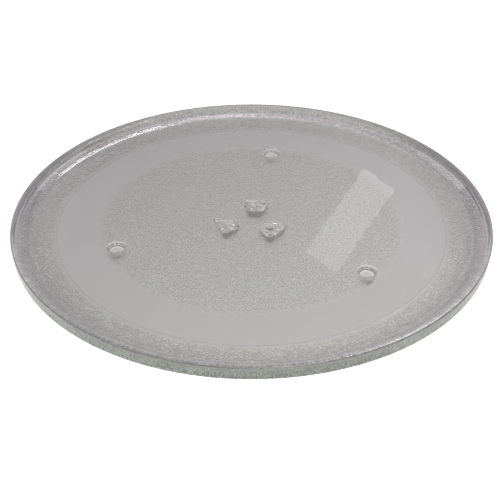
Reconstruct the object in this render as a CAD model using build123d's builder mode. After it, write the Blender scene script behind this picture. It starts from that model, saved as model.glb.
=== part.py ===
from build123d import *
import math
import os

# Turntable plate of a microwave oven: one piece of clear pressed glass.
# Millimetres, +Z up.  The origin is on the plate's axis, in the plane of the
# three foot tips, so the plate stands on z = 0.  One foot and one drive lug
# lie on +Y.

# ---- driving dimensions ---------------------------------------------------
plate_dia = 345.0          # over the rim
disc_thick = 5.5           # floor of the plate
foot_height = 8.0          # underside of the disc above the foot tips
rim_rise = 7.5             # crest of the rim above the top of the disc

# rim section: radii from the axis, heights above the top of the disc
wall_foot_r = 160.5        # inner wall meets the disc here, before rounding
shoulder_r = 166.9         # inner edge of the lip
shoulder_z = 6.45
crest_r = 170.2            # the lip slopes up to here and is flat beyond
edge_face = 8.6            # height of the outer edge face
edge_draft = 4.0           # degrees
heel_r = 155.4             # sloping underside of the rim meets the disc here
wall_foot_round = 5.0
shoulder_round = 1.3
crest_round = 2.0
lip_round = 0.9
edge_round = 0.9
heel_round = 45.0

# roller track: a smooth ring, standing a little proud of the underside
track_in_r = 114.0
track_out_r = 140.6
track_proud = 0.2
track_in_step = 2.0        # width of the easy slope on its inner side
track_out_step = 0.9       # width of the short slope on its outer side

# three feet
foot_circle_r = 101.5
foot_base_r = 6.4
foot_draft = 8.0           # degrees
foot_base_round = 1.4
foot_tip_round = 1.0

# three drive lugs around the coupler
lug_in_r = 11.3            # inner end, from the axis
lug_out_r = 25.8           # outer end
lug_in_w = 11.5
lug_out_w = 22.0
lug_height = 7.5           # half a millimetre short of the feet
lug_draft = 9.0            # degrees
lug_corner_round = 2.4
lug_base_round = 0.8
lug_tip_round = 0.7

# ---- derived --------------------------------------------------------------
plate_r = plate_dia / 2
z_under = foot_height
z_top = z_under + disc_thick
z_rim = z_top + rim_rise
z_lug = z_under - lug_height
slant = math.radians(edge_draft)
# corner of the lip before rounding, so that the rounded rim is plate_r
lip_r = plate_r + lip_round * (math.tan(slant) + 1 / math.cos(slant) - 1)
z_edge = z_rim - lip_round - edge_face
edge_r = lip_r - (z_rim - z_edge) * math.tan(slant)

# section of the plate, from the axis out along the top and back underneath
section = [
    (0, z_top),
    (wall_foot_r, z_top),
    (shoulder_r, z_top + shoulder_z),
    (crest_r, z_rim),
    (lip_r, z_rim),
    (edge_r, z_edge),
    (heel_r, z_under),
    (track_out_r + track_out_step, z_under),
    (track_out_r, z_under - track_proud),
    (track_in_r, z_under - track_proud),
    (track_in_r - track_in_step, z_under),
    (0, z_under),
]
roundings = [
    (1, wall_foot_round),
    (2, shoulder_round),
    (3, crest_round),
    (4, lip_round),
    (5, edge_round),
    (6, heel_round),
]

lug_outline = [
    (lug_in_r, lug_in_w / 2),
    (lug_in_r, -lug_in_w / 2),
    (lug_out_r, -lug_out_w / 2),
    (lug_out_r, lug_out_w / 2),
]


def small(edge):
    # outlines of feet and lugs, as against the plate's own circles
    return edge.bounding_box().size.length < 40


with BuildPart() as plate:
    # disc, wall and lip, turned about the axis
    with BuildSketch(Plane.XZ) as profile:
        with BuildLine():
            Polyline(*section, close=True)
        make_face()
        for corner, radius in roundings:
            at = Vector(section[corner][0], section[corner][1], 0)
            fillet(profile.vertices().sort_by_distance(at)[0], radius)
    revolve(axis=Axis.Z)

    # feet: drafted studs on a circle
    with BuildSketch(Plane.XY.offset(z_under)):
        with PolarLocations(foot_circle_r, 3, start_angle=90):
            Circle(foot_base_r)
    extrude(amount=-foot_height, taper=foot_draft)

    # drive lugs: drafted wedges, wide end outwards
    with BuildSketch(Plane.XY.offset(z_under)) as lugs:
        with PolarLocations(0, 3, start_angle=90):
            Polygon(*lug_outline, align=None)
        fillet(lugs.vertices(), lug_corner_round)
    extrude(amount=-lug_height, taper=lug_draft)

    # roundings where the studs and lugs grow out of the disc
    roots = plate.edges().filter_by_position(Axis.Z, z_under - 0.01, z_under + 0.01).filter_by(small)
    foot_roots = roots.filter_by(lambda e: Vector(e.center().X, e.center().Y).length > 60)
    lug_roots = roots.filter_by(lambda e: Vector(e.center().X, e.center().Y).length < 40)
    fillet(foot_roots, foot_base_round)
    fillet(lug_roots, lug_base_round)

    # roundings at their tips
    fillet(plate.edges().filter_by_position(Axis.Z, -0.01, 0.01), foot_tip_round)
    fillet(plate.edges().filter_by_position(Axis.Z, z_lug - 0.01, z_lug + 0.01), lug_tip_round)

plate.part.label = "turntable_plate"

os.makedirs("parts", exist_ok=True)
export_step(plate.part, "parts/turntable_plate.step")

box = plate.part.bounding_box()
print("solids", len(plate.part.solids()), "valid", plate.part.is_valid)
print("size", [round(v, 3) for v in (box.size.X, box.size.Y, box.size.Z)], "lowest", round(box.min.Z, 3))
print("volume cm3", round(plate.part.volume / 1000, 2))
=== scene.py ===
import math

import bpy
import numpy as np
from mathutils import Matrix, Vector
from mathutils.geometry import delaunay_2d_cdt


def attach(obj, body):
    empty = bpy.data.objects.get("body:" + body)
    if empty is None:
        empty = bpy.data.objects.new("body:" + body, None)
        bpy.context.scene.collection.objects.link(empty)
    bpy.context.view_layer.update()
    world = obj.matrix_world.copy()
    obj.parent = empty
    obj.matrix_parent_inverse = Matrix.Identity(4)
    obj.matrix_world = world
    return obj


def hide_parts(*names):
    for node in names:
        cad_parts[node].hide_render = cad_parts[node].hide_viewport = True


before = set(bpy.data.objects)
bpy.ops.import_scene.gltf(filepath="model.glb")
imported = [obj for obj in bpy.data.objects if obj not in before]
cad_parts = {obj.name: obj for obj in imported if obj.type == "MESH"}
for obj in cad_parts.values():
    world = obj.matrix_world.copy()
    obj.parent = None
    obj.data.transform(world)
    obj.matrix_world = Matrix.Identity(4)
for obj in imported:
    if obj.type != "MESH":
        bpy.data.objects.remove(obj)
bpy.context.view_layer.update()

MM = 0.001

# ---------------------------------------------------------------------------
# dimensions of the plate, millimetres, as in the solid model
# ---------------------------------------------------------------------------
PLATE_R = 172.5
Z_UNDER, Z_TOP, Z_RIM = 8.0, 13.5, 21.0
WALL_FOOT_R, SHOULDER_R, SHOULDER_Z, CREST_R = 160.5, 166.9, 6.45, 170.2
EDGE_FACE, EDGE_DRAFT, HEEL_R = 8.6, math.radians(4.0), 155.4
LIP_ROUND, EDGE_ROUND = 0.9, 0.9
LIP_R = PLATE_R + LIP_ROUND * (math.tan(EDGE_DRAFT) + 1 / math.cos(EDGE_DRAFT) - 1)
Z_EDGE = Z_RIM - LIP_ROUND - EDGE_FACE
EDGE_R = LIP_R - (Z_RIM - Z_EDGE) * math.tan(EDGE_DRAFT)
TRACK_IN, TRACK_OUT, TRACK_PROUD = 114.0, 140.6, 0.2
TRACK_IN_EDGE, TRACK_OUT_EDGE = TRACK_IN - 2.0, TRACK_OUT + 0.9   # feet of the slopes beside it

FOOT_CIRCLE, FOOT_R, FOOT_DRAFT = 101.5, 6.4, math.radians(8.0)
FOOT_ROOT, FOOT_TIP_ROUND = 1.4, 1.0

LUG_IN, LUG_OUT, LUG_IN_W, LUG_OUT_W = 11.3, 25.8, 11.5, 22.0
LUG_H, LUG_DRAFT = 7.5, math.radians(9.0)
LUG_CORNER, LUG_ROOT, LUG_TIP_ROUND = 2.4, 0.8, 0.7

STUD_ANGLES = [math.radians(a) for a in (90, 210, 330)]

# stipple pressed into the underside
STIPPLE_PITCH = 2.66       # mean distance between pebbles
STIPPLE_HEIGHT = 0.12
STIPPLE_TURN = math.radians(24.0)   # direction of the lattice rows
SEGMENTS = 480             # around the rim

rng = np.random.default_rng(20)


# ---------------------------------------------------------------------------
# rounded section of the plate: points (r, z) with outward normals
# ---------------------------------------------------------------------------
def rounded_path(points, radii, steps):
    """Polyline with rounded corners; each sample is (r, z, nr, nz)."""
    pts = [np.array(p, float) for p in points]
    out = []

    def normal(d):
        return np.array([-d[1], d[0]])

    for i, p in enumerate(pts):
        if i == 0 or i == len(pts) - 1:
            a, b = (pts[0], pts[1]) if i == 0 else (pts[-2], pts[-1])
            d = (b - a) / np.linalg.norm(b - a)
            out.append((*p, *normal(d)))
            continue
        d0 = p - pts[i - 1]
        d1 = pts[i + 1] - p
        d0, d1 = d0 / np.linalg.norm(d0), d1 / np.linalg.norm(d1)
        turn = math.atan2(d0[0] * d1[1] - d0[1] * d1[0], d0 @ d1)
        rho = radii[i]
        n0, n1 = normal(d0), normal(d1)
        t = rho * math.tan(abs(turn) / 2)
        side = 1.0 if turn > 0 else -1.0
        centre = p - d0 * t + n0 * rho * side
        for k in range(steps[i] + 1):
            u = turn * k / steps[i]
            c, s = math.cos(u), math.sin(u)
            n = np.array([c * n0[0] - s * n0[1], s * n0[0] + c * n0[1]])
            q = centre - n * rho * side
            out.append((*q, *n))
    return out


section = [
    (0, Z_TOP),
    (WALL_FOOT_R, Z_TOP),
    (SHOULDER_R, Z_TOP + SHOULDER_Z),
    (CREST_R, Z_RIM),
    (LIP_R, Z_RIM),
    (EDGE_R, Z_EDGE),
    (HEEL_R, Z_UNDER),
    (TRACK_OUT_EDGE, Z_UNDER),
]
path = rounded_path(section, [0, 5.0, 1.3, 2.0, LIP_ROUND, EDGE_ROUND, 45.0, 0], [0, 10, 6, 3, 8, 6, 14, 0])
# corner samples in order: foot 11, shoulder 7, crest 4, lip 9, edge 7, heel 15
START_HEEL = 1 + 11 + 7 + 4 + 9 + 7
ring_path = path[1:START_HEEL]          # floor edge ... end of the edge rounding
heel_path = path[START_HEEL:-1]         # rounding between rim slope and underside
JOIN_R = ring_path[-1][0]               # the underside field ends here


def under_base(r):
    """Height and outward normal (nr, nz) of the underside at radius r, without stipple."""
    r = np.asarray(r, float)
    z = np.full(r.shape, Z_UNDER)
    nr = np.zeros(r.shape)
    nz = np.full(r.shape, -1.0)
    # track, standing proud, with a slope at each side
    m = (r > TRACK_IN_EDGE) & (r < TRACK_OUT_EDGE)
    z[m] -= np.interp(r[m], [TRACK_IN_EDGE, TRACK_IN, TRACK_OUT, TRACK_OUT_EDGE], [0, TRACK_PROUD, TRACK_PROUD, 0])
    # heel rounding and slope under the rim
    hp = np.array(heel_path)[::-1]
    m = (r > hp[0, 0]) & (r <= hp[-1, 0])
    z[m] = np.interp(r[m], hp[:, 0], hp[:, 1])
    nr[m] = np.interp(r[m], hp[:, 0], hp[:, 2])
    nz[m] = np.interp(r[m], hp[:, 0], hp[:, 3])
    m = r > hp[-1, 0]
    z[m] = np.interp(r[m], [hp[-1, 0], JOIN_R], [hp[-1, 1], ring_path[-1][1]])
    nr[m], nz[m] = hp[-1, 2], hp[-1, 3]
    return z, nr, nz


# ---------------------------------------------------------------------------
# feet and drive lugs: stacks of outlines from their root on the disc to the tip
# ---------------------------------------------------------------------------
def stud_profile(draft, height, root, tip_round, root_steps=7, tip_steps=5):
    """(offset from the outline, z, normal outwards, normal up) from root to tip."""
    s = []
    half = (math.pi / 2 + draft) / 2
    t = root / math.tan(half)
    # concave root rounding: from the disc's underside into the wall
    sweep = math.pi / 2 - draft
    for k in range(root_steps + 1):
        u = sweep * k / root_steps
        s.append((t - root * math.sin(u), Z_UNDER - root * (1 - math.cos(u)), math.sin(u), -math.cos(u)))
    # wall and convex tip rounding
    z_tip = Z_UNDER - height
    wall_n = (math.cos(draft), -math.sin(draft))
    tip_off = -height * math.tan(draft)
    tt = tip_round * math.tan((math.pi / 2 - draft) / 2)
    cx, cz = tip_off - tt, z_tip + tip_round
    for k in range(tip_steps + 1):
        u = draft + (math.pi / 2 - draft) * k / tip_steps
        s.append((cx + tip_round * math.cos(u), cz - tip_round * math.sin(u), math.cos(u), -math.sin(u)))
    return s, wall_n


def circle_outline(n):
    """Unit outline of a foot: point, direction in which it is offset."""
    a = 2 * math.pi * np.arange(n) / n
    d = np.stack([np.cos(a), np.sin(a)], 1)
    return d * FOOT_R + np.array([FOOT_CIRCLE, 0.0]), d


def wedge_outline(per_corner=8, per_side=8):
    """Outline of a drive lug, rounded corners, counter-clockwise."""
    corners = np.array([
        (LUG_IN, -LUG_IN_W / 2), (LUG_OUT, -LUG_OUT_W / 2),
        (LUG_OUT, LUG_OUT_W / 2), (LUG_IN, LUG_IN_W / 2)])
    pts, dirs = [], []
    n = len(corners)
    arcs = []
    for i in range(n):
        p, a, b = corners[i], corners[i - 1], corners[(i + 1) % n]
        d0, d1 = (p - a) / np.linalg.norm(p - a), (b - p) / np.linalg.norm(b - p)
        n0, n1 = np.array([d0[1], -d0[0]]), np.array([d1[1], -d1[0]])
        turn = math.atan2(d0[0] * d1[1] - d0[1] * d1[0], d0 @ d1)
        centre = p - d0 * LUG_CORNER * math.tan(turn / 2) - n0 * LUG_CORNER
        a0 = math.atan2(n0[1], n0[0])
        arc = []
        for k in range(per_corner + 1):
            u = a0 + turn * k / per_corner
            d = np.array([math.cos(u), math.sin(u)])
            arc.append((centre + LUG_CORNER * d, d))
        arcs.append(arc)
    for i in range(n):
        arc, nxt = arcs[i], arcs[(i + 1) % n]
        for q, d in arc:
            pts.append(q), dirs.append(d)
        p0, p1, d = arc[-1][0], nxt[0][0], arc[-1][1]
        for k in range(1, per_side):
            pts.append(p0 + (p1 - p0) * k / per_side), dirs.append(d)
    return np.array(pts), np.array(dirs)


def turned(a, v):
    c, s = math.cos(a), math.sin(a)
    return np.stack([v[..., 0] * c - v[..., 1] * s, v[..., 0] * s + v[..., 1] * c], -1)


studs = []                  # each: rings of (xyz, normals), first ring lies on the disc
foot_prof, _ = stud_profile(FOOT_DRAFT, Z_UNDER, FOOT_ROOT, FOOT_TIP_ROUND)
lug_prof, _ = stud_profile(LUG_DRAFT, LUG_H, LUG_ROOT, LUG_TIP_ROUND, 5, 4)
for outline, prof in ((circle_outline(56), foot_prof), (wedge_outline(), lug_prof)):
    for ang in STUD_ANGLES:
        p0, d0 = turned(ang, outline[0]), turned(ang, outline[1])
        rings = []
        for off, z, nh, nv in prof:
            xy = p0 + d0 * off
            rings.append((np.column_stack([xy, np.full(len(xy), z)]),
                          np.column_stack([d0 * nh, np.full(len(xy), nv)])))
        studs.append(rings)
loops = [s[0][0][:, :2] for s in studs]
loop_mid = [l.mean(0) for l in loops]
loop_reach = [np.linalg.norm(l - m, axis=1).max() for l, m in zip(loops, loop_mid)]


def inside(poly, pts):
    x, y = pts[:, 0], pts[:, 1]
    hit = np.zeros(len(pts), bool)
    j = len(poly) - 1
    for i in range(len(poly)):
        xi, yi, xj, yj = *poly[i], *poly[j]
        cross = (yi > y) != (yj > y)
        if cross.any():
            hit ^= cross & (x < (xj - xi) * (y - yi) / (yj - yi + 1e-30) + xi)
        j = i
    return hit


def stud_gap(pts):
    """Distance from each point to the nearest foot or lug outline, negative inside."""
    gap = np.full(len(pts), 50.0)
    for poly, mid, reach in zip(loops, loop_mid, loop_reach):
        near = np.linalg.norm(pts - mid, axis=1) < reach + 4
        if not near.any():
            continue
        q = pts[near]
        a, b = poly, np.roll(poly, -1, 0)
        ab = b - a
        t = np.clip(((q[:, None] - a) * ab).sum(2) / (ab * ab).sum(1), 0, 1)
        d = np.linalg.norm(q[:, None] - (a + t[..., None] * ab), axis=2).min(1)
        d[inside(poly, q)] *= -1
        gap[near] = np.minimum(gap[near], d)
    return gap


# ---------------------------------------------------------------------------
# stipple: rounded pebbles on a loose hexagonal lattice
# ---------------------------------------------------------------------------
def lattice(step, reach, jitter):
    """Triangular lattice with jitter, as grids of x and y by row and column."""
    h = step * math.sqrt(3) / 2
    rows = int(reach / h) + 3
    cols = int(reach / step) + 3
    j, i = np.meshgrid(np.arange(-rows, rows + 1), np.arange(-cols, cols + 1), indexing="ij")
    x = (i + 0.5 * (j % 2)) * step
    y = j * h
    x = x + rng.uniform(-jitter, jitter, x.shape) * step
    y = y + rng.uniform(-jitter, jitter, y.shape) * step
    return x, y, h, rows, cols


peb_x, peb_y, peb_h, peb_rows, peb_cols = lattice(STIPPLE_PITCH, 178, 0.17)
peb_amp = STIPPLE_HEIGHT * rng.uniform(0.75, 1.1, peb_x.shape)
peb_rad = STIPPLE_PITCH * rng.uniform(0.58, 0.66, peb_x.shape)


def stipple(xy):
    """Height of the pebbles at each point, and its slope along x and y."""
    x, y = turned(-STIPPLE_TURN, xy).T
    j0 = np.round(y / peb_h).astype(int)
    z = np.zeros(len(x))
    gx = np.zeros(len(x))
    gy = np.zeros(len(x))
    for dj in (-2, -1, 0, 1, 2):
        j = np.clip(j0 + dj, -peb_rows, peb_rows)
        i0 = np.round(x / STIPPLE_PITCH - 0.5 * (j % 2)).astype(int)
        for di in (-2, -1, 0, 1, 2):
            i = np.clip(i0 + di, -peb_cols, peb_cols)
            a = (j + peb_rows, i + peb_cols)
            dx, dy, rad, amp = x - peb_x[a], y - peb_y[a], peb_rad[a], peb_amp[a]
            u = (dx * dx + dy * dy) / (rad * rad)
            w = np.clip(1 - u, 0, None)
            z += amp * w * w
            g = -4 * amp * w / (rad * rad)
            gx += g * dx
            gy += g * dy
    gx, gy = turned(STIPPLE_TURN, np.stack([gx, gy], 1)).T
    return z, gx, gy


def ramp(v, lo, hi):
    t = np.clip((v - lo) / (hi - lo), 0, 1)
    return t * t * (3 - 2 * t)


def stipple_mask(xy):
    r = np.hypot(xy[:, 0], xy[:, 1])
    inner = 1 - ramp(r, TRACK_IN - 9.0, TRACK_IN - 0.5)
    outer = ramp(r, TRACK_OUT_EDGE - 0.2, TRACK_OUT_EDGE + 4.0) * (1 - 0.5 * ramp(r, 170.0, JOIN_R))
    return np.maximum(inner, outer) * ramp(stud_gap(xy), 0.1, 1.0)


# ---------------------------------------------------------------------------
# underside field: constrained triangulation in plan
# ---------------------------------------------------------------------------
def circle(r, n, phase=0.0):
    a = 2 * math.pi * (np.arange(n) + phase) / n
    return np.stack([r * np.cos(a), r * np.sin(a)], 1)


plan = []
edges = []


def add_loop(pts, closed=True):
    start = len(plan)
    plan.extend(map(tuple, pts))
    n = len(pts)
    if closed:
        edges.extend((start + k, start + (k + 1) % n) for k in range(n))
    return list(range(start, start + n))


rim_loop = add_loop(circle(JOIN_R, SEGMENTS))
for r in (TRACK_IN_EDGE, TRACK_IN):
    add_loop(circle(r, 640))
add_loop(circle(TRACK_IN - 1.0, 640, 0.5))
for r in (TRACK_OUT, TRACK_OUT_EDGE):
    add_loop(circle(r, 780))
# rows that hold the track flat right up to its edges
add_loop(circle(TRACK_IN + 0.4, 640, 0.5))
add_loop(circle(TRACK_OUT - 0.4, 780, 0.5))
for r, n in ((120.5, 240), (127.3, 240), (134.1, 240)):
    add_loop(circle(r, n))
stud_loops = [add_loop(l) for l in loops]

# each pebble has a point at its top and five on its flank
flank = 0.35 * STIPPLE_PITCH
start = rng.uniform(0, 2 * math.pi, peb_x.size)
cand = [np.stack([peb_x.ravel(), peb_y.ravel()], 1)]
for k in range(5):
    a = start + 2 * math.pi * k / 5
    cand.append(cand[0] + flank * np.stack([np.cos(a), np.sin(a)], 1))
cand = turned(STIPPLE_TURN, np.concatenate(cand))
cr = np.hypot(cand[:, 0], cand[:, 1])
keep = (cr < TRACK_IN_EDGE - 0.5) | ((cr > TRACK_OUT_EDGE + 0.5) & (cr < JOIN_R - 0.7))
cand = cand[keep]
cand = cand[stud_gap(cand) > 0.5]
plan.extend(map(tuple, cand))

plan_v, _, plan_f, plan_src, _, _ = delaunay_2d_cdt([Vector(p) for p in plan], edges, [], 0, 1e-6)
where = {}
for new, olds in enumerate(plan_src):
    for o in olds:
        where[o] = new
uxy = np.array([(v.x, v.y) for v in plan_v])
tri = np.array(plan_f, int)
mid = uxy[tri].mean(1)
tri = tri[stud_gap(mid) > 0]
# faces look down, so the triangles run clockwise seen from above
ab, ac = uxy[tri[:, 1]] - uxy[tri[:, 0]], uxy[tri[:, 2]] - uxy[tri[:, 0]]
flip = (ab[:, 0] * ac[:, 1] - ab[:, 1] * ac[:, 0]) > 0
tri[flip] = tri[flip][:, ::-1]

ur = np.hypot(uxy[:, 0], uxy[:, 1])
uz, unr, unz = under_base(ur)
mask = stipple_mask(uxy)
sz, sgx, sgy = stipple(uxy)
radial = uxy / np.maximum(ur, 1e-6)[:, None]
base_n = np.column_stack([radial * unr[:, None], unz])
under_p = np.column_stack([uxy, uz]) + base_n * (sz * mask)[:, None]
# the pebbles stand out of the surface, so their slope tilts the normal back
under_n = base_n.copy()
under_n[:, 0] -= sgx * mask
under_n[:, 1] -= sgy * mask
under_n /= np.linalg.norm(under_n, axis=1)[:, None]

# ---------------------------------------------------------------------------
# the whole plate as one closed mesh
# ---------------------------------------------------------------------------
# tone: painted shade that darkens the glass towards the rim, and painted light that makes the feet and lugs paler
under_shade_tone = np.interp(ur, [0, 141, 143, 147, 155, 163, 168, JOIN_R], [1, 1, 0.93, 0.87, 0.73, 0.68, 0.85, 1.0])
# painted shade: the short step at the track's outer edge gets a thin darker line
under_shade_tone[(ur > TRACK_OUT - 0.1) & (ur < TRACK_OUT_EDGE + 0.1)] *= 0.84
# painted light on the tops of the pebbles and painted shade in the gaps between them
crown = np.clip((sz - sz.mean()) / sz.std(), -1.5, 1.5)
under_shade_tone = under_shade_tone * (1 + np.where(ur > TRACK_OUT, 0.34, 0.15) * crown * mask)
V = [under_p]
N = [under_n]
S = [mask]
E = [np.zeros(len(mask))]
T = [np.repeat(under_shade_tone[:, None], 3, 1)]
G = [np.zeros(len(mask))]
D = [np.zeros(len(mask))]
F = [tuple(t) for t in tri]
count = len(under_p)


def add_points(p, n, edge=0.0, tone=(1, 1, 1), grit=0.0, satin=0.0):
    global count
    V.append(np.asarray(p, float))
    N.append(np.asarray(n, float))
    S.append(np.zeros(len(p)))
    E.append(np.full(len(p), edge))
    T.append(np.tile(np.asarray(tone, float), (len(p), 1)))
    G.append(np.full(len(p), grit))
    D.append(np.full(len(p), satin))
    start = count
    count += len(p)
    return list(range(start, count))


# rings from the underside's outer edge, over the rim and down to the floor
prev = [where[k] for k in rim_loop]
ang = 2 * math.pi * np.arange(SEGMENTS) / SEGMENTS
ca, sa = np.cos(ang), np.sin(ang)
# painted shade along the rim: darker from the wall's foot up to the shoulder, and a dark line at the rounding of the
# outer top edge; the hue gives the wall and lip a lavender cast and the edge face a green one
rim_shade_tone = [1.0, 1.0, 0.99, 0.96, 0.9, 0.82, 0.75, 0.7, 0.68, 0.67, 0.66, 0.64, 0.6, 0.6, 0.6, 0.6, 0.6, 0.75] + [1.0] * 4 + [0.9, 0.7, 0.45, 0.4, 0.4, 0.4, 0.45, 0.7] + [1.0] * 8
for i in range(len(ring_path) - 2, -1, -1):
    r, z, nr, nz = ring_path[i]
    hue = (0.99, 1.015, 0.97) if i >= 28 else (1.02, 0.935, 1.04) if 8 <= i < 22 else (1.0, 0.955, 1.02)
    ring = add_points(np.stack([r * ca, r * sa, np.full(SEGMENTS, z)], 1),
                      np.stack([nr * ca, nr * sa, np.full(SEGMENTS, nz)], 1), (nr > 0.7) * (0.25 if i < 31 else 1.0),
                      rim_shade_tone[i] * np.array(hue), 0.03 if 0 < i < 10 else 0.0, 0.07 if 14 <= i < 30 else 0.0)
    for k in range(SEGMENTS):
        m = (k + 1) % SEGMENTS
        F.append((prev[k], prev[m], ring[m], ring[k]))
    prev = ring
for r in (150.0, 110.0, 60.0):
    ring = add_points(np.stack([r * ca, r * sa, np.full(SEGMENTS, Z_TOP)], 1), np.tile([0, 0, 1.0], (SEGMENTS, 1)))
    for k in range(SEGMENTS):
        m = (k + 1) % SEGMENTS
        F.append((prev[k], prev[m], ring[m], ring[k]))
    prev = ring
hub = add_points([(0, 0, Z_TOP)], [(0, 0, 1.0)])[0]
for k in range(SEGMENTS):
    F.append((prev[k], prev[(k + 1) % SEGMENTS], hub))

# feet and lugs
for s_i, (rings, loop) in enumerate(zip(studs, stud_loops)):
    prev = [where[k] for k in loop]
    n = len(prev)
    grit = float(s_i >= len(STUD_ANGLES))
    # painted light: the walls of the feet and lugs grow paler towards the tip to lift the dark outlines they show; the
    # feet's tips are paler and the lugs' tips a little darker
    tip, most, gain = (0.85, 1.45, 0.3) if grit else (1.35, 2.3, 0.2)
    for q, (p, nn) in enumerate(rings[1:], 1):
        pale = tip if q == len(rings) - 1 else min(1 + gain * q, most)
        ring = add_points(p, nn, 0.0, (pale, pale, pale), grit)
        for k in range(n):
            m = (k + 1) % n
            F.append((prev[k], ring[k], ring[m], prev[m]))
        prev = ring
    p, nn = rings[-1]
    core = add_points([p.mean(0)], [(0, 0, -1.0)], 0.0, (tip, tip, tip), grit)[0]
    for k in range(n):
        F.append((prev[k], core, prev[(k + 1) % n]))

V, N, S, E, T, G, D = (np.concatenate(a) for a in (V, N, S, E, T, G, D))
N /= np.linalg.norm(N, axis=1)[:, None]
mesh = bpy.data.meshes.new("turntable_plate_glass")
mesh.from_pydata((V * MM).tolist(), [], F)
mesh.update()
mesh.shade_smooth()
mesh.normals_split_custom_set_from_vertices(N.tolist())
for name, values in (("stipple", S), ("edge", E), ("grit", G), ("satin", D)):
    field = mesh.attributes.new(name, "FLOAT", "POINT")
    field.data.foreach_set("value", values.astype(np.float32))
field = mesh.attributes.new("tone", "FLOAT_VECTOR", "POINT")
field.data.foreach_set("vector", T.astype(np.float32).ravel())
plate = bpy.data.objects.new("plate_glass", mesh)
bpy.context.scene.collection.objects.link(plate)
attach(plate, "root")
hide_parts("turntable_plate")


# ---------------------------------------------------------------------------
# glass
# ---------------------------------------------------------------------------
def node(tree, kind, at, **inputs):
    n = tree.nodes.new(kind)
    n.location = at
    for k, v in inputs.items():
        n.inputs[k.replace("_", " ")].default_value = v
    return n


glass = bpy.data.materials.new("pressed_glass")
glass.use_nodes = True
gt = glass.node_tree
gt.nodes.clear()
out = node(gt, "ShaderNodeOutputMaterial", (900, 0))
bsdf = node(gt, "ShaderNodeBsdfPrincipled", (560, 0))
bsdf.inputs["Transmission Weight"].default_value = 1.0
bsdf.inputs["IOR"].default_value = 1.5
gt.links.new(bsdf.outputs["BSDF"], out.inputs["Surface"])
absorb = node(gt, "ShaderNodeVolumeAbsorption", (560, -420))
absorb.inputs["Color"].default_value = (0.62, 0.66, 0.585, 1)
absorb.inputs["Density"].default_value = 7.0
gt.links.new(absorb.outputs["Volume"], out.inputs["Volume"])

coord = node(gt, "ShaderNodeTexCoord", (-1100, 0))
area = node(gt, "ShaderNodeAttribute", (-1100, -300))
area.attribute_name = "stipple"
# painted shade: the stippled fields are tinted a little warmer and darker than the clear track, for the light their
# pebbles turn aside
tint = node(gt, "ShaderNodeMix", (-400, 600))
tint.data_type = "RGBA"
tint.inputs[6].default_value = (0.373, 0.363, 0.360, 1)
tint.inputs[7].default_value = (0.335, 0.341, 0.313, 1)
gt.links.new(area.outputs["Fac"], tint.inputs[0])
# painted light and shade: upright light and dark cells on the edge face stand in for the stipple seen through it; their
# green is the glass's own edge tint
brim = node(gt, "ShaderNodeAttribute", (-1100, 900))
brim.attribute_name = "edge"
tall = node(gt, "ShaderNodeMapping", (-900, 1100), Scale=(1.0, 1.0, 0.45))
gt.links.new(coord.outputs["Object"], tall.inputs["Vector"])
cells = node(gt, "ShaderNodeTexNoise", (-700, 1100), Scale=1050.0, Detail=1.0)
gt.links.new(tall.outputs["Vector"], cells.inputs["Vector"])
cell_light_shade = node(gt, "ShaderNodeValToRGB", (-400, 1100))
cell_light_shade.color_ramp.elements[0].position = 0.41
cell_light_shade.color_ramp.elements[0].color = (0.12, 0.146, 0.12, 1)
cell_light_shade.color_ramp.elements[1].position = 0.59
cell_light_shade.color_ramp.elements[1].color = (0.60, 0.672, 0.585, 1)
gt.links.new(cells.outputs["Fac"], cell_light_shade.inputs["Fac"])
# painted light and shade in the stipple: random lighter and darker specks for the light each pebble gathers and the
# shade beside it
speck = node(gt, "ShaderNodeTexNoise", (-700, 800), Scale=1000.0, Detail=1.0)
gt.links.new(coord.outputs["Object"], speck.inputs["Vector"])
speck_light_shade = node(gt, "ShaderNodeMapRange", (-400, 800))
speck_light_shade.inputs["From Min"].default_value = 0.36
speck_light_shade.inputs["From Max"].default_value = 0.64
speck_light_shade.inputs["To Min"].default_value = 0.58
speck_light_shade.inputs["To Max"].default_value = 1.41
gt.links.new(speck.outputs["Fac"], speck_light_shade.inputs["Value"])
pebbles = node(gt, "ShaderNodeMix", (-100, 600))
pebbles.data_type = "RGBA"
pebbles.blend_type = "MULTIPLY"
gt.links.new(area.outputs["Fac"], pebbles.inputs[0])
gt.links.new(tint.outputs[2], pebbles.inputs[6])
gt.links.new(speck_light_shade.outputs["Result"], pebbles.inputs[7])
# the tone attribute carries painted light and shade: darker towards the rim, paler in the feet and lugs
shade_tone_attr = node(gt, "ShaderNodeAttribute", (-400, 400))
shade_tone_attr.attribute_name = "tone"
toned = node(gt, "ShaderNodeVectorMath", (50, 500))
toned.operation = "MULTIPLY"
gt.links.new(pebbles.outputs[2], toned.inputs[0])
gt.links.new(shade_tone_attr.outputs["Vector"], toned.inputs[1])
shade = node(gt, "ShaderNodeMix", (200, 600))
shade.data_type = "RGBA"
gt.links.new(brim.outputs["Fac"], shade.inputs[0])
gt.links.new(toned.outputs["Vector"], shade.inputs[6])
gt.links.new(cell_light_shade.outputs["Color"], shade.inputs[7])
gt.links.new(shade.outputs[2], bsdf.inputs["Base Color"])
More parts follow.
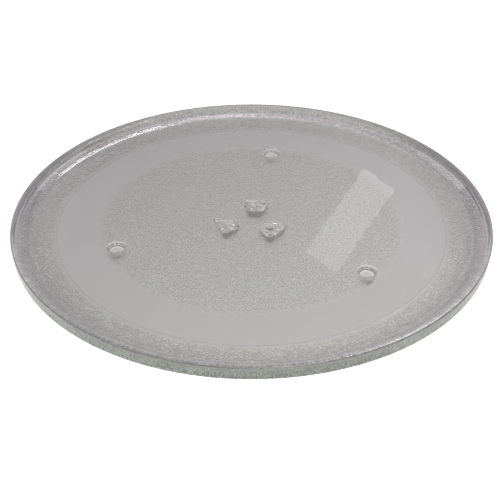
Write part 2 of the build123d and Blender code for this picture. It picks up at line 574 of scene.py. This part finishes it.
# faint handling haze in the polish
haze = node(gt, "ShaderNodeTexNoise", (-700, 200), Scale=26.0, Detail=3.0, Roughness=0.6)
gt.links.new(coord.outputs["Object"], haze.inputs["Vector"])
rough = node(gt, "ShaderNodeMapRange", (-400, 200))
rough.inputs["From Min"].default_value = 0.35
rough.inputs["From Max"].default_value = 0.8
rough.inputs["To Min"].default_value = 0.0
rough.inputs["To Max"].default_value = 0.05
gt.links.new(haze.outputs["Fac"], rough.inputs["Value"])
grain = node(gt, "ShaderNodeMath", (-100, 200))
grain.operation = "MULTIPLY_ADD"
grain.inputs[1].default_value = 0.28
worked = node(gt, "ShaderNodeMath", (-700, 0))
worked.operation = "MAXIMUM"
gt.links.new(area.outputs["Fac"], worked.inputs[0])
gt.links.new(brim.outputs["Fac"], worked.inputs[1])
early = node(gt, "ShaderNodeMapRange", (-400, 0))
early.inputs["From Max"].default_value = 0.12
dull = node(gt, "ShaderNodeAttribute", (-1100, 100))
dull.attribute_name = "satin"
duller = node(gt, "ShaderNodeMath", (-550, 0))
duller.operation = "MAXIMUM"
gt.links.new(worked.outputs["Value"], duller.inputs[0])
gt.links.new(dull.outputs["Fac"], duller.inputs[1])
gt.links.new(duller.outputs["Value"], early.inputs["Value"])
gt.links.new(early.outputs["Result"], grain.inputs[0])
gt.links.new(rough.outputs["Result"], grain.inputs[2])
gt.links.new(grain.outputs["Value"], bsdf.inputs["Roughness"])

# slow waviness of pressed glass, and fine pebbling within the stipple
wave = node(gt, "ShaderNodeTexNoise", (-700, -100), Scale=38.0, Detail=1.0)
gt.links.new(coord.outputs["Object"], wave.inputs["Vector"])
wavy = node(gt, "ShaderNodeBump", (0, -150), Strength=0.5, Distance=0.00012)
gt.links.new(wave.outputs["Fac"], wavy.inputs["Height"])
pebble = node(gt, "ShaderNodeTexNoise", (-700, -400), Scale=800.0, Detail=1.0)
gt.links.new(coord.outputs["Object"], pebble.inputs["Vector"])
gritty = node(gt, "ShaderNodeAttribute", (-1100, -600))
gritty.attribute_name = "grit"
lumps = node(gt, "ShaderNodeTexNoise", (-900, -600), Scale=230.0, Detail=1.0)
gt.links.new(coord.outputs["Object"], lumps.inputs["Vector"])
lumpy = node(gt, "ShaderNodeMath", (-700, -600))
lumpy.operation = "MULTIPLY"
gt.links.new(lumps.outputs["Fac"], lumpy.inputs[0])
gt.links.new(gritty.outputs["Fac"], lumpy.inputs[1])
fine = node(gt, "ShaderNodeMath", (-400, -400))
fine.operation = "MULTIPLY"
gt.links.new(pebble.outputs["Fac"], fine.inputs[0])
gt.links.new(area.outputs["Fac"], fine.inputs[1])
pebbled = node(gt, "ShaderNodeBump", (250, -250), Strength=1.0, Distance=0.00015)
gt.links.new(fine.outputs["Value"], pebbled.inputs["Height"])
rugged = node(gt, "ShaderNodeBump", (120, -350), Strength=1.0, Distance=0.007)
gt.links.new(lumpy.outputs["Value"], rugged.inputs["Height"])
gt.links.new(wavy.outputs["Normal"], rugged.inputs["Normal"])
gt.links.new(rugged.outputs["Normal"], pebbled.inputs["Normal"])
gt.links.new(pebbled.outputs["Normal"], bsdf.inputs["Normal"])
mesh.materials.append(glass)

# ---------------------------------------------------------------------------
# floor, light and camera
# ---------------------------------------------------------------------------
fm = bpy.data.meshes.new("floor")
H = 12.0
fm.from_pydata([(-H, -H, -0.0002), (H, -H, -0.0002), (H, H, -0.0002), (-H, H, -0.0002)], [], [(0, 1, 2, 3)])
floor = bpy.data.objects.new("floor", fm)
bpy.context.scene.collection.objects.link(floor)
pale = bpy.data.materials.new("pale_floor")
pale.use_nodes = True
pt = pale.node_tree
pb = pt.nodes["Principled BSDF"]
pb.inputs["Base Color"].default_value = (0.05, 0.05, 0.05, 1)
pb.inputs["Emission Color"].default_value = (1, 1, 1, 1)
pb.inputs["Roughness"].default_value = 0.9
pb.inputs["Specular IOR Level"].default_value = 0.1
fm.materials.append(pale)
# painted light: the floor's glow rises towards the right and the front
TURN = math.radians(9.37)
spin = Matrix.Rotation(TURN, 3, "Z")
f_co = node(pt, "ShaderNodeTexCoord", (-800, 0))
f_dot = node(pt, "ShaderNodeVectorMath", (-600, 0))
f_dot.operation = "DOT_PRODUCT"
f_dot.inputs[1].default_value = spin @ Vector((0.70, -0.66, 0))
pt.links.new(f_co.outputs["Object"], f_dot.inputs[0])
f_painted_light = node(pt, "ShaderNodeMapRange", (-400, 0))
f_painted_light.inputs["From Min"].default_value = -0.165
f_painted_light.inputs["From Max"].default_value = 0.165
f_painted_light.inputs["To Min"].default_value = 1.03
f_painted_light.inputs["To Max"].default_value = 1.49
pt.links.new(f_dot.outputs["Value"], f_painted_light.inputs["Value"])
f_across = node(pt, "ShaderNodeVectorMath", (-600, -250))
f_across.operation = "DOT_PRODUCT"
f_across.inputs[1].default_value = spin @ Vector((1, 0, 0))
pt.links.new(f_co.outputs["Object"], f_across.inputs[0])
f_x = node(pt, "ShaderNodeMapRange", (-400, -250))
f_x.inputs["From Min"].default_value = -0.2
f_x.inputs["From Max"].default_value = 0.2
pt.links.new(f_across.outputs["Value"], f_x.inputs["Value"])
# painted light under the far left of the plate and painted shade under its far right
f_painted_ends = node(pt, "ShaderNodeValToRGB", (-200, -250))
f_painted_ends.color_ramp.elements[0].position = 0.10
f_painted_ends.color_ramp.elements[0].color = (1.10, 1.10, 1.10, 1)
f_painted_ends.color_ramp.elements[1].position = 0.90
f_painted_ends.color_ramp.elements[1].color = (0.89, 0.89, 0.89, 1)
for at in (0.17, 0.81):
    f_painted_ends.color_ramp.elements.new(at).color = (1, 1, 1, 1)
pt.links.new(f_x.outputs["Result"], f_painted_ends.inputs["Fac"])
f_sum = node(pt, "ShaderNodeMath", (0, -100))
f_sum.operation = "MULTIPLY"
pt.links.new(f_painted_light.outputs["Result"], f_sum.inputs[0])
pt.links.new(f_painted_ends.outputs["Color"], f_sum.inputs[1])
pt.links.new(f_sum.outputs["Value"], pb.inputs["Emission Strength"])

world = bpy.data.worlds.new("studio")
bpy.context.scene.world = world
world.use_nodes = True
wt = world.node_tree
wt.nodes.clear()
w_out = node(wt, "ShaderNodeOutputWorld", (600, 0))
w_bg = node(wt, "ShaderNodeBackground", (400, 0), Strength=1.0)
w_co = node(wt, "ShaderNodeTexCoord", (-600, 0))
w_sep = node(wt, "ShaderNodeSeparateXYZ", (-400, 0))
wt.links.new(w_co.outputs["Generated"], w_sep.inputs["Vector"])
wt.links.new(w_bg.outputs["Background"], w_out.inputs["Surface"])


def sky(stops, at):
    """Brightness of the studio from the horizon (0) to overhead (1)."""
    r = node(wt, "ShaderNodeValToRGB", at)
    els = r.color_ramp.elements
    while len(els) < len(stops):
        els.new(0.5)
    for e, (p, v) in zip(els, stops):
        e.position = p
        e.color = (*v, 1)
    wt.links.new(w_sep.outputs["Z"], r.inputs["Fac"])
    return r


back_stops = [(0.0, (0.85, 0.85, 0.85)), (0.1, (0.6, 0.6, 0.6)), (0.25, (0.46, 0.43, 0.50)), (0.45, (0.44, 0.40, 0.50)),
         (0.57, (0.42, 0.39, 0.47)), (0.60, (0.34, 0.34, 0.33)), (0.70, (0.45, 0.45, 0.43)),
         (0.80, (1.7, 1.7, 1.7)), (1.0, (2.2, 2.2, 2.2))]
front_stops = [(0.0, (0.85, 0.85, 0.85)), (0.3, (0.9, 0.9, 0.88)), (0.6, (1.0, 1.0, 0.98)),
               (0.80, (1.7, 1.7, 1.7)), (1.0, (2.2, 2.2, 2.2))]
# lights are placed as the camera sees the plate: x to the right, y away from it
w_dot = node(wt, "ShaderNodeVectorMath", (-400, -300))
w_dot.operation = "DOT_PRODUCT"
w_dot.inputs[1].default_value = spin @ Vector((0, 1, 0))
wt.links.new(w_co.outputs["Generated"], w_dot.inputs[0])
w_side = node(wt, "ShaderNodeMapRange", (-100, -300))
w_side.inputs["From Min"].default_value = -0.15
w_side.inputs["From Max"].default_value = 0.35
wt.links.new(w_dot.outputs["Value"], w_side.inputs["Value"])
w_mix = node(wt, "ShaderNodeMix", (200, 0))
w_mix.data_type = "RGBA"
wt.links.new(w_side.outputs["Result"], w_mix.inputs[0])
wt.links.new(sky(front_stops, (-100, 300)).outputs["Color"], w_mix.inputs[6])
wt.links.new(sky(back_stops, (-100, 0)).outputs["Color"], w_mix.inputs[7])
wt.links.new(w_mix.outputs[2], w_bg.inputs["Color"])


def softbox(name, at, target, size_x, size_y, watts, colour=(1, 1, 1), roll=0.0):
    ld = bpy.data.lights.new(name, "AREA")
    ld.shape = "RECTANGLE"
    ld.size, ld.size_y, ld.energy, ld.color = size_x, size_y, watts, colour
    o = bpy.data.objects.new(name, ld)
    at, target = spin @ Vector(at), spin @ Vector(target)
    o.location = at
    aim = (target - at).to_track_quat("-Z", "Y").to_matrix()
    o.rotation_euler = (aim @ Matrix.Rotation(math.radians(roll), 3, "Z")).to_euler()
    o.visible_camera = False
    bpy.context.scene.collection.objects.link(o)
    return o


softbox("overhead", (-0.33, 0.165, 1.70), (0, 0, 0), 0.12, 1.3, 3.5)
softbox("window", (0.36, 0.78, 1.24), (0, 0, 0), 0.22, 0.6, 12.4)
softbox("right", (0.88, 0.88, 0.84), (0, 0, 0), 0.95, 0.5, 2.3)
softbox("left", (-0.88, 0.88, 0.84), (0, 0, 0), 0.95, 0.5, 2.7)
softbox("front", (0.318, -0.978, 1.226), (0, 0, 0), 0.2, 0.2, 15)
softbox("back", (-0.20, 0.96, 1.22), (0, 0, 0), 0.32, 0.08, 0.2)
# a small panel low behind the plate, which its polished top mirrors as a pale slanting patch
softbox("panel", (0.191, 0.910, 0.610), (0.0719, -0.0062, 0.0135), 0.072, 0.195, 0.045, roll=-31)

# camera: fitted to the plate's outline, feet and track
F_PX = 901.63
DIST, ELEV = 0.66325, math.radians(32.762)
YAW, PITCH, ROLL = math.radians(-0.112), math.radians(34.895), math.radians(-0.052)
place = spin @ Vector((0, -math.cos(ELEV) * DIST, math.sin(ELEV) * DIST)) + Vector((0, 0, Z_TOP * MM))
look = Vector((math.sin(YAW) * math.cos(PITCH), math.cos(YAW) * math.cos(PITCH), -math.sin(PITCH)))
right = Vector((math.cos(YAW), -math.sin(YAW), 0))
up = right.cross(look)
r2 = right * math.cos(ROLL) + up * math.sin(ROLL)
u2 = up * math.cos(ROLL) - right * math.sin(ROLL)
axes = Matrix((spin @ r2, spin @ u2, -(spin @ look))).transposed()
cam_data = bpy.data.cameras.new("camera")
cam_data.sensor_fit = "HORIZONTAL"
cam_data.sensor_width = 36.0
cam_data.lens = F_PX / 500 * 36.0
cam_data.clip_start = 0.01
cam_data.clip_end = 100
cam = bpy.data.objects.new("camera", cam_data)
cam.matrix_world = Matrix.Translation(place) @ axes.to_4x4()
bpy.context.scene.collection.objects.link(cam)
bpy.context.scene.camera = cam

scene = bpy.context.scene
scene.view_settings.view_transform = "Standard"
scene.view_settings.look = "None"
scene.cycles.max_bounces = 64
scene.cycles.transmission_bounces = 64
scene.cycles.glossy_bounces = 64
scene.cycles.caustics_reflective = False
scene.cycles.caustics_refractive = False
scene.cycles.diffuse_bounces = 4
